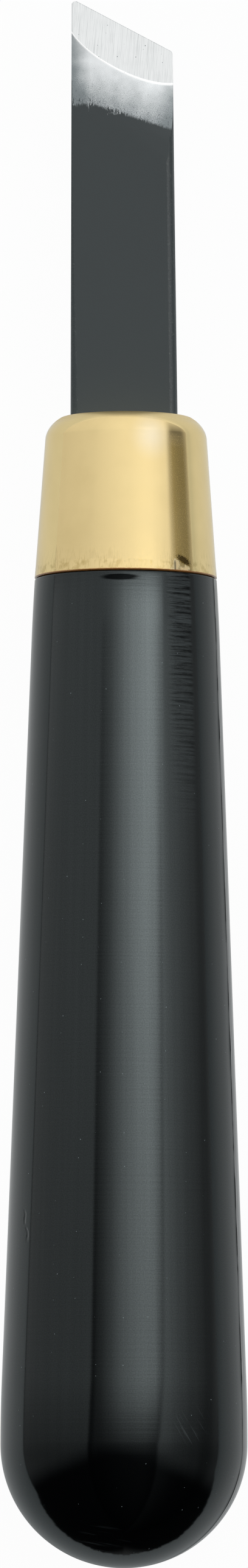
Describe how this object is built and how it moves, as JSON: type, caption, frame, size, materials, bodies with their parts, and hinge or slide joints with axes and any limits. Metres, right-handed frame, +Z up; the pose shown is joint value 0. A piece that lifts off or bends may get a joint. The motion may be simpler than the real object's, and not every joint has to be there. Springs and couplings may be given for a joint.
{
  "type": "lino cutting tool",
  "caption": "Hand-held lino cutting tool: a tapered round plastic handle, a brass ferrule and a flat steel blade ground to a skewed cutting edge.",
  "frame": {"origin": "on the floor under the middle of the tool's box, with the tool lying on the side of its handle", "axes": "+Y along the tool towards the blade's tip, +Z up out of the blade's ground side, +X to the right seen from above with the tip away"},
  "size_m": [0.0204, 0.1298, 0.0204],
  "materials": {
    "handle_plastic": "glossy moulded",
    "ferrule_brass": "polished drawn",
    "blade_steel": "matte dark coat, ground bright at the tip"
  },
  "bodies": {
    "root": {"handle": "handle_plastic", "ferrule": "ferrule_brass", "blade": "blade_steel"}
  },
  "joints": []
}
